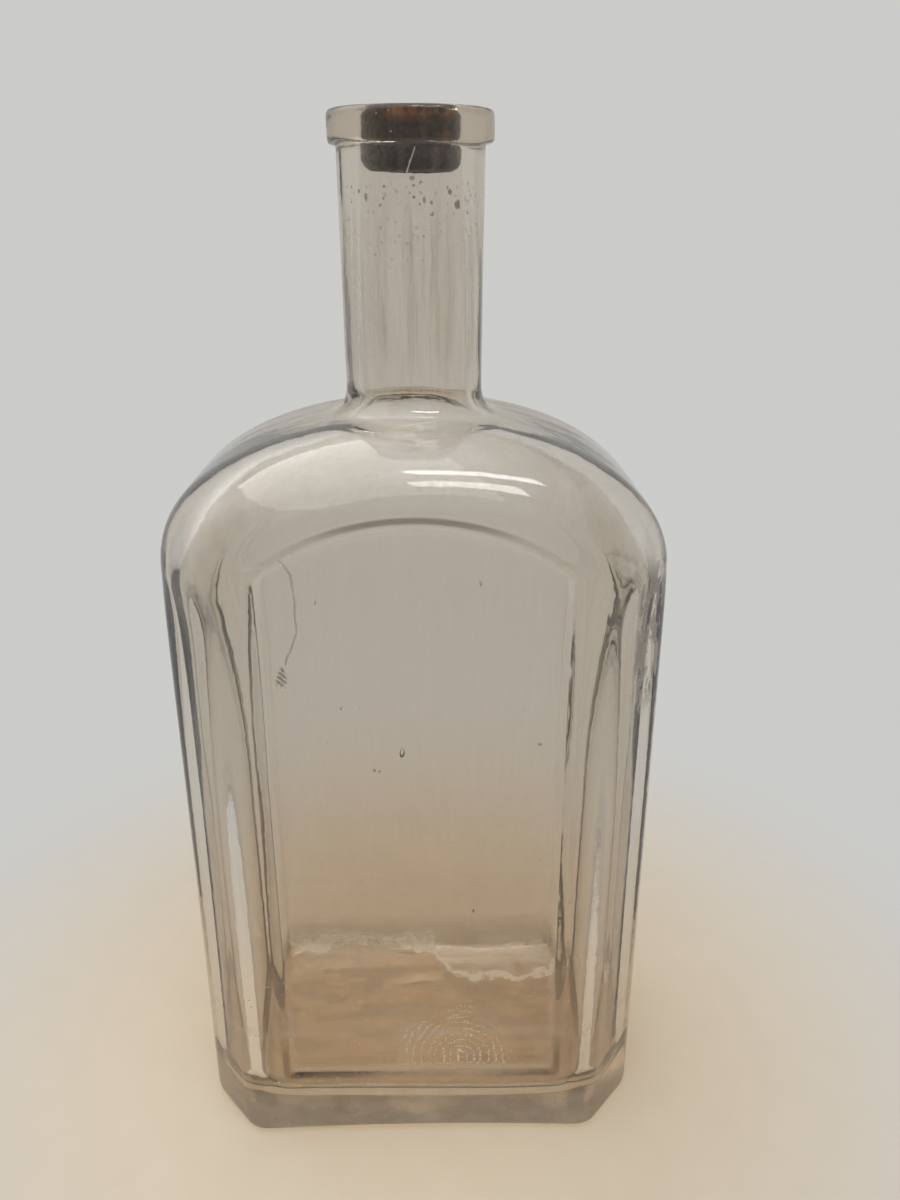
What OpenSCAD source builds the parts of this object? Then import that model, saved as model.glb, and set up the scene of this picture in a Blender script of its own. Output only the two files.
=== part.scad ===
// Square-shouldered glass oil bottle with an arched label panel, a laid-on lip ring and a cork stub.
// Origin: centre of the base where the bottle stands. +Z is up, the label panel faces -Y.
// Solids: bottle_glass (body, shoulder and neck, blown as one), lip_ring (laid round the neck end), cork.

/* [Body] */
// Overall width of the body, flat side to flat side
body_width = 147; // [136:1:160]
// Overall depth of the body, front face to back face
body_depth = 88; // [80:1:100]
// Height of the straight sides, from the table to where the arch springs
side_height = 200; // [170:1:230]
// Width that each corner bevel takes off the front face
bevel_width = 16; // [13:0.5:18]
// Depth that each corner bevel takes off the side face
bevel_depth = 18.5; // [14:0.5:21]
// Length over which the mould eases each bevel edge
edge_ease = 3; // [1.5:0.5:4]
// Radius of the heel where the sides meet the base
heel_radius = 4; // [2.5:0.5:5]

/* [Shoulder] */
// Rise of the arched shoulder above the straight sides
shoulder_rise = 41.5; // [40:0.5:52]
// Fullness of the arch: 2 is an ellipse, higher is squarer
arch_fullness = 2.08; // [2:0.02:2.2]
// Height of the rounded band between front face and crown
band_rise = 16.5; // [13:0.5:17]
// Depth of the rounded band between front face and crown
band_depth = 26; // [20:0.5:30]

/* [Glass] */
// Wall thickness of the body
wall = 4.5; // [3:0.25:6]
// Thickness of the base over its bearing edge
base_thickness = 9; // [7:0.5:12]
// Height of the dome pushed up under the base
push_up = 3; // [1.5:0.5:4]
// Diameter of the dome pushed up under the base
push_up_width = 58; // [40:1:66]
// Lift of the base edge in the middle of front and back
foot_lift = 1.2; // [0.6:0.1:1.6]

/* [Label panel] */
// Width of the sunk label panel, inside its sloped edge
panel_width = 84; // [70:1:90]
// Height of the panel's lower edge above the table
panel_bottom = 29; // [20:1:60]
// Height at which the panel's arch springs, above the spring of the shoulder
panel_spring = 3; // [0:0.5:5]
// Rise of the arch over the panel
panel_rise = 14; // [9:0.5:17]
// Depth that the panel is sunk below the face
panel_sink = 1.4; // [0.6:0.1:2]
// Width of the slope round the panel
panel_slope = 3.2; // [1:0.1:4]

/* [Neck] */
// Length of the neck from the crown of the shoulder to the top of the lip
neck_length = 78.5; // [60:0.5:100]
// Outside diameter of the neck above the shoulder
neck_width = 39.2; // [37:0.2:44]
// How much wider the neck is under the lip
neck_spread = 1; // [0:0.2:2.4]
// Radius of the hollow curve where the neck runs out into the shoulder
flare_radius = 5; // [3:0.5:8]
// Diameter of the bore through the neck
bore_width = 27.6; // [22:0.2:30]
// Rounding of the mouth's edges
rim_round = 1.6; // [0.8:0.1:1.9]

/* [Lip ring] */
// How far the lip ring stands out from the neck
lip_overhang = 2.4; // [2:0.1:5]
// Height of the lip ring
lip_height = 8.4; // [6:0.2:14]
// Height of the slope under the lip ring
lip_undercut = 1.5; // [0.5:0.1:1.9]

/* [Cork] */
// Length of the cork
cork_length = 14.5; // [10:0.5:30]
// Depth of the cork's top below the rim
cork_depth = 1; // [0:0.25:4]
// Gap between the cork and the bore, on the radius
cork_gap = 0.05; // [0.03:0.01:0.1]
// Rounding of the cork's lower edge
cork_round = 3.5; // [2:0.5:4.5]

/* [Hidden] */
$fn = 96;
crown_z = side_height + shoulder_rise;
top_z = crown_z + neck_length;
half_w = body_width / 2;
half_d = body_depth / 2;
bore_r = bore_width / 2;
neck_low_r = neck_width / 2;
neck_top_r = neck_low_r + neck_spread / 2;
lip_r = neck_top_r + lip_overhang;
lip_z = top_z - lip_height;
cork_r = bore_r - cork_gap;
cork_top_z = top_z - cork_depth;
shoulder_wall = wall + 0.5;
flare_sink = 1.5;      // how far the flare's foot lies below the crown
flare_skirt = 4;       // how far the flare is buried in the shoulder
throat_spread = 5;     // how much wider the bore is where it opens into the body
throat_height = 11;
corner_steps = 4;      // segments in each eased bevel edge
arch_steps = 26;       // stations over each half of the arch
ease_steps = 5;        // stations over which the bevel turns into the band
ease_drop = 34;        // where that starts, below the spring of the arch
heel_steps = 4;
gap_at_crown = 2;      // half the narrow strip that closes the loft along the crown
eps = 0.02;

// ---- body loft: a band profile carried up one side, over the arch and down the other ----

// point at u along a quadratic curve that eases the corner c between a and b
function eased(a, c, b, u) = (1 - u) * (1 - u) * a + 2 * u * (1 - u) * c + u * u * b;

// the bevel with both of its edges eased, as [inward from the outline, half depth] points
function bevel_points(d, bw, bd, ease) =
    let (front = [bw, d], side = [0, d - bd],
         run = (side - front) / norm(side - front) * ease)
    concat(
        [for (i = [0:corner_steps]) eased(front + [ease, 0], front, front + run, i / corner_steps)],
        [for (i = [0:corner_steps]) eased(side - run, side, side - [0, ease], i / corner_steps)]);

// the same number of points round the shoulder's band
function band_points(d, rise, depth) =
    let (last = 2 * corner_steps + 1)
    [for (i = [0:last]) [rise * (1 - sin(90 * i / last)), d - depth * (1 - cos(90 * i / last))]];

// front half of the profile at a station; m runs from bevel (0) to band (1)
function half_profile(d, bw, bd, ease, rise, depth, m) =
    let (a = bevel_points(d, bw, bd, ease), b = band_points(d, rise, depth))
    [for (i = [0:len(a) - 1]) (1 - m) * a[i] + m * b[i]];

// one closed ring: left side front to back, then right side back to front
// x, z: outline point of the right side; nx, nz: inward direction there
function ring(x, z, nx, nz, prof) =
    let (k = len(prof),
         side = concat([for (p = prof) [p[0], -p[1]]], [for (i = [k - 1:-1:0]) [prof[i][0], prof[i][1]]]))
    concat([for (p = side) [-(x + nx * p[0]), p[1], z + nz * p[0]]],
           [for (i = [len(side) - 1:-1:0]) [x + nx * side[i][0], side[i][1], z + nz * side[i][0]]]);

function smooth(t) = t * t * (3 - 2 * t);

// all rings of a bottle-shaped solid whose outline is w wide, d deep and runs from z0 over the arch
function body_rings(w, d, z0, zs, rise_z, n, bw, bd, ease, rise, depth, heel) =
    let (gap = gap_at_crown,
         t_end = acos(pow(gap / w, n / 2)))
    concat(
        [for (i = [0:heel_steps])
            let (a = 90 * i / heel_steps, in = heel * (1 - sin(a)))
            ring(w - in, z0 + heel * (1 - cos(a)), -1, 0,
                 half_profile(d - in, bw, bd, ease, rise, depth, 0))],
        [for (i = [0:ease_steps])
            ring(w, zs - ease_drop * (1 - i / ease_steps), -1, 0,
                 half_profile(d, bw, bd, ease, rise, depth, 0.45 * smooth(i / ease_steps)))],
        [for (i = [1:arch_steps])
            let (t = t_end * i / arch_steps,
                 x = w * pow(cos(t), 2 / n), z = rise_z * pow(sin(t), 2 / n),
                 gx = pow(x / w, n - 1) / w, gz = pow(z / rise_z, n - 1) / rise_z,
                 g = sqrt(gx * gx + gz * gz))
            ring(x, zs + z, -gx / g, -gz / g,
                 half_profile(d, bw, bd, ease, rise, depth,
                              0.45 + 0.55 * smooth(min(1, t / 40))))]);

// rings joined, the lowest one closed by a flat, the highest one zipped along the crown
module loft(rings) {
    count = len(rings);
    size = len(rings[0]);
    half = size / 2;
    polyhedron(
        points = [for (r = rings) for (p = r) p],
        faces = concat(
            [[for (i = [size - 1:-1:0]) i]],
            [for (k = [0:count - 2]) for (i = [0:size - 1])
                let (j = (i + 1) % size)
                [k * size + j, (k + 1) * size + j, (k + 1) * size + i, k * size + i]],
            [for (i = [0:half - 2])
                let (b = (count - 1) * size)
                [b + i + 1, b + size - 2 - i, b + size - 1 - i, b + i]]),
        convexity = 6);
}

module outer_body() {
    loft(body_rings(half_w, half_d, 0, side_height, shoulder_rise, arch_fullness,
                    bevel_width, bevel_depth, edge_ease, band_rise, band_depth, heel_radius));
}

module cavity() {
    loft(body_rings(half_w - wall, half_d - wall, base_thickness, side_height,
                    shoulder_rise - shoulder_wall, arch_fullness,
                    bevel_width - wall / 3, bevel_depth - wall / 3, edge_ease + 1.5,
                    band_rise - 2, band_depth - 3, heel_radius + 3));
}

// ---- label panel: arched outline, sunk into the front with a sloped edge ----

module panel_outline(grow) {
    half = panel_width / 2 + grow;
    low = panel_bottom - grow;
    spring = side_height + panel_spring;
    rise = panel_rise + grow;
    arch_r = (half * half + rise * rise) / (2 * rise);
    intersection() {
        translate([-half, low]) square([2 * half, spring + rise - low + 1]);
        union() {
            translate([0, spring + rise - arch_r]) circle(r = arch_r);
            translate([-half, low]) square([2 * half, spring - low]);
        }
    }
}

module panel_cut() {
    out = 2;
    translate([0, -half_d, 0]) rotate([90, 0, 0]) hull() {
        translate([0, 0, -panel_sink]) linear_extrude(eps) panel_outline(0);
        translate([0, 0, 0]) linear_extrude(out) panel_outline(panel_slope);
    }
}

// ---- base: a shallow dome pushed up, and the front and back edges lifted in the middle ----

module base_cut() {
    cap_r = push_up_width / 2;
    dome_r = (cap_r * cap_r + push_up * push_up) / (2 * push_up);
    translate([0, 0, push_up - dome_r]) sphere(r = dome_r, $fn = 180);
    span = half_w - bevel_width - 8;
    lift_r = (span * span + foot_lift * foot_lift) / (2 * foot_lift);
    translate([0, 0, foot_lift - lift_r]) rotate([90, 0, 0])
        cylinder(r = lift_r, h = body_depth + 10, center = true, $fn = 360);
}

// ---- neck: slightly wider at the top, running out into the shoulder in a hollow curve ----

module neck_outside() {
    rotate_extrude() union() {
        polygon([[0, crown_z - flare_sink - flare_skirt], [neck_low_r, crown_z - flare_sink - flare_skirt],
                 [neck_low_r, crown_z + flare_radius], [neck_top_r, lip_z], [neck_top_r, top_z], [0, top_z]]);
        difference() {
            translate([0, crown_z - flare_sink - flare_skirt])
                square([neck_low_r + flare_radius, flare_skirt + flare_radius]);
            translate([neck_low_r + flare_radius, crown_z - flare_sink + flare_radius])
                circle(r = flare_radius);
        }
    }
}

module bore_cut() {
    translate([0, 0, crown_z - shoulder_wall - 4])
        cylinder(r = bore_r, h = top_z - crown_z + shoulder_wall + 6);
    // the bore spreads where it opens into the body
    translate([0, 0, crown_z + 4 - throat_height])
        cylinder(r1 = bore_r + throat_spread, r2 = bore_r, h = throat_height);
    // rounded inner edge of the mouth
    rotate_extrude() difference() {
        translate([bore_r - 1, top_z - rim_round]) square([rim_round + 1, rim_round + 1]);
        translate([bore_r + rim_round, top_z - rim_round]) circle(r = rim_round);
    }
}

module bottle_glass() {
    color([0.86, 0.88, 0.82, 0.45])
        difference() {
            union() {
                outer_body();
                neck_outside();
            }
            cavity();
            bore_cut();
            panel_cut();
            base_cut();
        }
}

// ---- lip ring: laid round the end of the neck, rounded on top and sloped underneath ----

module lip_ring() {
    color([0.82, 0.84, 0.78, 0.55])
        rotate_extrude() difference() {
            polygon([[neck_top_r, lip_z], [lip_r - lip_undercut, lip_z], [lip_r, lip_z + lip_undercut],
                     [lip_r, top_z], [neck_top_r, top_z]]);
            difference() {
                translate([lip_r - rim_round, top_z - rim_round]) square(rim_round + 1);
                translate([lip_r - rim_round, top_z - rim_round]) circle(r = rim_round);
            }
        }
}

module cork() {
    color([0.24, 0.16, 0.13])
        rotate_extrude() union() {
            translate([0, cork_top_z - cork_length + cork_round])
                square([cork_r, cork_length - cork_round]);
            translate([0, cork_top_z - cork_length]) square([cork_r - cork_round, cork_round]);
            intersection() {
                translate([cork_r - cork_round, cork_top_z - cork_length + cork_round])
                    circle(r = cork_round);
                translate([0, cork_top_z - cork_length]) square([cork_r, cork_round]);
            }
        }
}

bottle_glass();
lip_ring();
cork();
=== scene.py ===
import math

import bpy
import numpy as np
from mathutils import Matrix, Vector


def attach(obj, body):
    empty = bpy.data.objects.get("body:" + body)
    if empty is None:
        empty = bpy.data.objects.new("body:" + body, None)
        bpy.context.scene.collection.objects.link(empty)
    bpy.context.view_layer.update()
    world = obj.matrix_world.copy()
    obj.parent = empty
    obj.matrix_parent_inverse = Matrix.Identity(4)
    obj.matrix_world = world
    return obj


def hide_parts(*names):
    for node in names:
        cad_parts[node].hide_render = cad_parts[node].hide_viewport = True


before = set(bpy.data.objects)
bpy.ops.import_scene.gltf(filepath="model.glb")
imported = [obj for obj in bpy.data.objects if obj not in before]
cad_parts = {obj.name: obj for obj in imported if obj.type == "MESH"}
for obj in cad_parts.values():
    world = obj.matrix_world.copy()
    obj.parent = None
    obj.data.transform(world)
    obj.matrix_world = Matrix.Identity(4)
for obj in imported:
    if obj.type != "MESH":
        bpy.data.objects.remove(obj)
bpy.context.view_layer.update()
MM = 0.001

# ---------------------------------------------------------------------------
# The glass as one implicit solid, in millimetres. Negative is inside the glass.
# ---------------------------------------------------------------------------

# body: half width, half depth, start of the shoulder's arch, its rise and its exponent
HALF_W, HALF_D, SPRING, RISE, FULL = 73.5, 44.0, 200.0, 41.5, 2.08
# where the bevel has become a full band, and how far up and down the arch is evened out
BAND_FULL_Z, EVEN_OUT = 230.0, 9.0
# walls, floor inside, rim of the mouth
WALL, FLOOR_T, TOP = 4.5, 9.0, 320.0
# neck: radius and height at its foot, radius at its top and how far up that is
NECK_LOW, NECK_LOW_Z, NECK_TOP, NECK_RUN = 19.6, 241.0, 20.1, 71.0
# lip: radius and underside; bore: radius at the mouth
LIP_R, LIP_Z, BORE = 22.5, 311.4, 13.8
# label panel: half width, lower edge, start and rise of its arch, depth, width of its slope
PANEL_HALF, PANEL_LOW, PANEL_SPRING, PANEL_RISE = 42.0, 29.0, 203.0, 14.0
PANEL_DEEP, PANEL_SLOPE = 1.7, 3.3
# the hollow's arch starts this much lower, and this share of the panel shows inside
HOLLOW_DROP, PRINT_THROUGH = 6.0, 0.35
OUTSIDE = dict(w=HALF_W, d=HALF_D, rise=RISE, bev_w=16.0, bev_d=18.5, band_h=16.5,
               band_d=26.0, edge=3.0, start=184.0)
HOLLOW = dict(w=HALF_W - WALL, d=HALF_D - WALL, rise=RISE + 1.0, bev_w=15.0, bev_d=17.4,
              band_h=15.0, band_d=23.5, edge=7.0, start=128.0)
# box of the glass with a margin, and the cell of its grid: full and quick
NET_LOW, NET_HIGH = (-75.5, -46.0, -2.0), (75.5, 46.0, 322.0)
CELL, QUICK_CELL = 1.0, 1.6
# share of the faces that is kept: full and quick
THIN, QUICK_THIN = 0.35, 0.6
# reach of the sample points that measure how sharply the surface bends
BEND_REACH = 1.3
# the panel attribute holds the distance to the panel's flat part, up to this far,
# for points on the outside in front of this depth
PANEL_FAR, FRONT_SKIN_Y = 9.0, -41.0


def step(t):
    t = np.clip(t, 0.0, 1.0)
    return t * t * (3.0 - 2.0 * t)


def smax(a, b, k):
    """The larger of two, rounded over k where they meet."""
    h = np.clip(0.5 + 0.5 * (a - b) / k, 0.0, 1.0)
    return b + (a - b) * h + k * h * (1.0 - h)


def smin(a, b, k):
    return -smax(-a, -b, k)


def bump(t):
    return np.exp(-t * t)


def inset_from_outline(x, z, w, rise):
    """How far a point lies inside the arched outline seen from the front."""
    ax = np.maximum(np.abs(x), 1e-3)
    t = np.maximum(z - SPRING, 0.0) / rise
    u, v = (ax / w) ** FULL, t ** FULL
    g = (u + v) ** (1.0 / FULL)
    gx, gz = u / ax, v / np.maximum(t * rise, 1e-3)
    s = (1.0 - g) * g ** (FULL - 1.0) / np.sqrt(gx * gx + gz * gz)
    return np.minimum(s, 60.0)


def slab(x, y, z, front, w, d, rise, bev_w, bev_d, band_h, band_d, edge, start):
    """Bevelled bottle body without its base. The bevel turns into a rounded band in the shoulder.

    front: how far the front is sunk. w, d: half width and depth. bev_w, bev_d: the bevel's legs.
    band_h, band_d: the band's half axes. edge: rounding. start: where the bevel starts to turn.
    """
    s = inset_from_outline(x, z, w, rise)
    below = inset_from_outline(x, z - EVEN_OUT, w, rise)
    above = inset_from_outline(x, z + EVEN_OUT, w, rise)
    s = s + 0.6 * (0.5 * (below + above) - s) * np.clip(s / 14.0, 0.0, 1.0)
    ay = np.abs(y)
    sunk = np.where(y < 0, front, 0.0)
    m = step((z - start) / (BAND_FULL_Z - start))
    bevel = ((bev_w - s) * bev_d + (ay - d) * bev_w) / math.hypot(bev_w, bev_d)
    edge = edge * (1.0 + 1.6 * m)
    crisp = smax(smax(ay - d + sunk, bevel, edge), -s, edge)
    p = np.maximum(band_h - s, 0.0) / band_h
    q = np.maximum(ay - d + band_d + sunk, 0.0) / band_d
    e = np.sqrt(p * p + q * q) + 1e-6
    band = (e - 1.0) * e / (np.sqrt((p / band_h) ** 2 + (q / band_d) ** 2) + 1e-7)
    return (1.0 - m) * crisp + m * np.maximum(band, -12.0)


def inside_panel(x, z):
    """Distance into the label panel's flat part, seen from the front."""
    arch = (PANEL_HALF * PANEL_HALF + PANEL_RISE * PANEL_RISE) / (2 * PANEL_RISE)
    centre = PANEL_SPRING + PANEL_RISE - arch
    sides = PANEL_HALF - np.abs(x) + 0.5 * np.sin(z / 37.0 + 1.0) * (x > 0)
    top = arch - np.sqrt(x * x + np.maximum(z - centre, 0.0) ** 2)
    return smin(smin(sides, z - PANEL_LOW, 2.4), top, 1.6)


def panel_depth(x, z):
    """How deep the front is sunk at the label panel."""
    t = (inside_panel(x, z) + PANEL_SLOPE) / PANEL_SLOPE
    return PANEL_DEEP * smin(smax(t, 0.0, 0.5), 1.0, 0.5)


def ripple(x, y, z, scale, seed):
    """Gentle, deterministic waves of blown glass, about -1 to 1."""
    a = np.sin(x / scale + 1.3 * np.sin(z / (1.9 * scale) + seed) + seed)
    b = np.sin(z / (1.27 * scale) + 1.1 * np.sin(y / (1.5 * scale) + 2.0 * seed) + 2.3 * seed)
    c = np.sin((x + 1.7 * y - 0.6 * z) / (1.6 * scale) + 3.1 * seed)
    return (a + b + c) / 3.0


def shells(p):
    """The outside, the hollow, and how widely the edge where they meet is rounded."""
    x, y, z = p[:, 0], p[:, 1], p[:, 2]
    # the shoulder leans a little to the left
    xs = x + 1.1 * bump((z - 224.0) / 15.0)
    r = np.sqrt(x * x + y * y)
    th = np.arctan2(y, x)
    below_mouth = step((300.0 - z) / 20.0)
    front = panel_depth(x, z)

    # body, with a foot that lifts between its corners and a push-up under it
    body = slab(xs, y, z, front, **OUTSIDE)
    lift = 1.2 * np.maximum(1.0 - (x / 49.0) ** 2, 0.0)
    push_up = 3.0 * smax(1.0 - (x * x + y * y) / 29.0 ** 2, 0.0, 0.25)
    body = smax(body, lift + push_up - z, 5.0)

    # neck, with seven faint flutes
    neck_r = NECK_LOW + (NECK_TOP - NECK_LOW) * np.clip((z - NECK_LOW_Z) / NECK_RUN, 0.0, 1.0)
    neck_r = neck_r + 0.10 * np.sin(7.0 * th + 0.8 + z / 90.0) * step((z - 246.0) / 12.0)
    neck = smax(smax(r - neck_r, 222.0 - z, 2.0), z - TOP, 2.2)
    out = smin(body, neck, 8.0)

    # lip ring, with an uneven lower edge
    low = LIP_Z + 0.32 * np.sin(2.0 * th + 0.5) + 0.25 * np.sin(5.0 * th + 2.0)
    lip = smax(r - LIP_R + 0.08 * (1.0 + np.sin(3.0 * th + 0.3 * z)), z - TOP, 2.0)
    lip = smax(lip, ((low + 0.5 - z) + (r - LIP_R)) / 1.41421, 0.6)
    lip = smax(lip, low - z - 0.25 * bump((r - 22.0) / 0.8), 0.5)
    out = smax(smin(out, lip, 0.9), z - TOP + 0.05, 0.3)
    out = out + 0.09 * (1.0 + ripple(x, y, z, 13.0, 0.7)) * below_mouth

    # hollow: the body's, down to the floor, and the bore
    inn = slab(xs, y, z + HOLLOW_DROP, PRINT_THROUGH * front, **HOLLOW)
    floor = FLOOR_T + 0.7 * ripple(x, y, z, 17.0, 2.1)
    floor = floor + 1.0 * ((np.abs(x) / 69.0) ** 4 + (np.abs(y) / 39.5) ** 4)
    inn = smax(inn, floor - z, 15.0)
    bore_r = BORE + 0.5 * step((300.0 - z) / 30.0)
    bore_r = bore_r + 0.22 * np.sin(5.0 * th - z / 60.0) * step((302.0 - z) / 10.0)
    bore = smax(r - bore_r, 224.0 - z, 3.0)
    inn = smin(inn, bore, 11.0)
    inn = inn + 0.34 * ripple(x, y, z, 19.0, 4.4) * below_mouth
    return out, inn, 1.2 + 2.0 * step((z - 314.0) / 4.0)


def glass(p):
    out, inn, k = shells(p)
    return smax(out, -inn, k)


def slope_of(fn, p, h=0.02):
    f = fn(p)
    g = np.empty_like(p)
    for i in range(3):
        q = p.copy()
        q[:, i] += h
        a = fn(q)
        q[:, i] -= 2 * h
        g[:, i] = (a - fn(q)) / (2 * h)
    return f, g


def settle(fn, p, rounds=2):
    """Moves points straight onto the surface."""
    for _ in range(rounds):
        f, g = slope_of(fn, p)
        p = p - (np.clip(f, -1.5, 1.5) / np.maximum((g * g).sum(1), 0.05))[:, None] * g
    return p


def surface_net(fn, lo, hi, cell, block=8, batch=400):
    """Points and quads of the zero surface of fn, from the cells that it passes through.

    Space is searched in cubes of block cells a side, and batch of them are worked out at a time.
    """
    lo = np.asarray(lo, float)
    count = np.ceil((np.asarray(hi) - lo) / (cell * block)).astype(int)
    grid = np.stack(np.meshgrid(*[np.arange(n) for n in count], indexing="ij"), -1).reshape(-1, 3)
    mid = lo + (grid + 0.5) * block * cell
    # cubes whose middle is far from the surface are left out
    grid = grid[np.abs(fn(mid)) < block * cell * 1.25]
    n1 = block + 1
    off = np.stack(np.meshgrid(*[np.arange(n1)] * 3, indexing="ij"), -1).reshape(-1, 3)
    size = count * block + 2
    ids, firsts, marks = [], [], []
    corners = np.array([[a, b, c] for a in (0, 1) for b in (0, 1) for c in (0, 1)])
    for at in range(0, len(grid), batch):
        g = grid[at:at + batch]
        pts = lo + (g[:, None, :] * block + off[None]) * cell
        f = fn(pts.reshape(-1, 3)).reshape(len(g), n1, n1, n1)
        # no corner lies exactly on the surface
        f = np.where(np.abs(f) < 1e-9, 1e-9, f)
        v = np.stack([f[:, a:a + block, b:b + block, c:c + block] for a, b, c in corners], -1)
        neg = v < 0
        mixed = neg.any(-1) & ~neg.all(-1)
        bi, i, j, k = np.nonzero(mixed)
        cellno = g[bi] * block + np.stack([i, j, k], 1)
        vals = v[bi, i, j, k]
        total, hits = np.zeros((len(bi), 3)), np.zeros(len(bi))
        for a in range(8):
            for b in range(a + 1, 8):
                if np.abs(corners[a] - corners[b]).sum() != 1:
                    continue
                va, vb = vals[:, a], vals[:, b]
                cross = (va < 0) != (vb < 0)
                t = np.where(cross, va / np.where(cross, va - vb, 1.0), 0.0)
                total += cross[:, None] * (corners[a] + t[:, None] * (corners[b] - corners[a]))
                hits += cross
        ids.append(cellno)
        firsts.append(lo + (cellno + total / hits[:, None]) * cell)
        # the sides of the cell's first corner and of its neighbours along x, y and z
        marks.append(neg[bi, i, j, k][:, [0, 4, 2, 1]])
    cellno, verts, neg = np.concatenate(ids), np.concatenate(firsts), np.concatenate(marks)
    flat = (cellno[:, 0] * size[1] + cellno[:, 1]) * size[2] + cellno[:, 2]
    order = np.argsort(flat)
    flat, verts, neg, cellno = flat[order], verts[order], neg[order], cellno[order]
    step_of = np.array([size[1] * size[2], size[2], 1])
    quads = []
    # one quad round each edge that crosses the surface
    for axis in range(3):
        b, c = (axis + 1) % 3, (axis + 2) % 3
        own = np.nonzero(neg[:, 0] != neg[:, axis + 1])[0]
        own = own[(cellno[own][:, b] > 0) & (cellno[own][:, c] > 0)]
        base = flat[own]
        around = [base, base - step_of[b], base - step_of[b] - step_of[c], base - step_of[c]]
        found = [np.clip(np.searchsorted(flat, a), 0, len(flat) - 1) for a in around]
        good = np.all([flat[f] == a for f, a in zip(found, around)], axis=0)
        q = np.stack(found, 1)[good]
        turn = neg[own, 0][good]
        q[~turn] = q[~turn][:, ::-1]
        quads.append(q)
    return verts, np.concatenate(quads)


def add_object(name, data):
    obj = bpy.data.objects.new(name, data)
    bpy.context.scene.collection.objects.link(obj)
    return obj


def new_mesh(name, verts, faces, normals=None):
    mesh = bpy.data.meshes.new(name)
    faces = np.asarray(faces)
    mesh.vertices.add(len(verts))
    mesh.vertices.foreach_set("co", np.asarray(verts, np.float32).ravel())
    mesh.loops.add(faces.size)
    mesh.loops.foreach_set("vertex_index", faces.ravel().astype(np.int32))
    mesh.polygons.add(len(faces))
    starts = np.arange(0, faces.size, faces.shape[1], dtype=np.int32)
    mesh.polygons.foreach_set("loop_start", starts)
    mesh.update(calc_edges=True)
    mesh.validate()
    mesh.polygons.foreach_set("use_smooth", np.ones(len(mesh.polygons), bool))
    if normals is not None:
        mesh.normals_split_custom_set_from_vertices(np.asarray(normals, np.float32))
    return add_object(name, mesh)


def unit(v):
    return v / np.maximum(np.linalg.norm(v, axis=1), 1e-9)[:, None]


def seed_bubble(at, size, turn):
    """A small bubble in the wall: points, triangles and normals that face the air in it."""
    rings, n = 9, 14
    lat = np.linspace(-90, 90, rings + 2)[1:-1] * math.pi / 180
    pts = [(0, 0, -1)] + [(math.cos(a) * math.cos(b), math.cos(a) * math.sin(b), math.sin(a))
                          for a in lat for b in np.arange(n) * 2 * math.pi / n] + [(0, 0, 1)]
    pts = np.array(pts)
    tris = []
    last = len(pts) - 1
    for j in range(n):
        k = (j + 1) % n
        tris.append((0, 1 + j, 1 + k))
        for i in range(rings - 1):
            a, b = 1 + i * n, 1 + (i + 1) * n
            tris += [(a + j, b + k, a + k), (a + j, b + j, b + k)]
        tris.append((1 + (rings - 1) * n + j, last, 1 + (rings - 1) * n + k))
    c, si = math.cos(turn), math.sin(turn)
    rot = np.array([[c, 0, si], [0, 1, 0], [-si, 0, c]])
    size = np.array(size)
    return at + (pts * size) @ rot.T, np.array(tris), -unit(pts / size) @ rot.T


def thin_out(obj, ratio):
    """Fewer faces where the glass is flat. Gives points and triangles and removes the object."""
    obj.modifiers.new("thin", "DECIMATE").ratio = ratio
    mesh = obj.evaluated_get(bpy.context.evaluated_depsgraph_get()).to_mesh()
    verts = np.empty(len(mesh.vertices) * 3)
    mesh.vertices.foreach_get("co", verts)
    mesh.calc_loop_triangles()
    tris = np.empty(len(mesh.loop_triangles) * 3, np.int32)
    mesh.loop_triangles.foreach_get("vertices", tris)
    old = obj.data
    bpy.data.objects.remove(obj)
    bpy.data.meshes.remove(old)
    return verts.reshape(-1, 3) / MM, tris.reshape(-1, 3)


# bubbles in the walls: middle, half sizes, lean
SEEDS = [((-4.2, -41.0, 148.6), (0.75, 0.55, 1.45), 0.15),
         ((-12.4, -41.0, 142.9), (0.35, 0.35, 0.45), 0.0),
         ((-10.9, -41.0, 142.6), (0.3, 0.3, 0.4), 0.0),
         ((35.8, -41.0, 151.2), (0.55, 0.4, 0.4), 0.6),
         ((-27.0, -41.0, 196.0), (0.25, 0.25, 0.6), 0.0),
         ((17.0, -41.0, 92.0), (0.3, 0.3, 0.8), 0.1),
         ((61.0, -33.5, 96.0), (0.3, 0.3, 1.1), 0.0),
         ((-30.0, 42.0, 120.0), (0.4, 0.4, 1.0), 0.1),
         ((22.0, 42.0, 170.0), (0.35, 0.35, 0.8), 0.0)]


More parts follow.
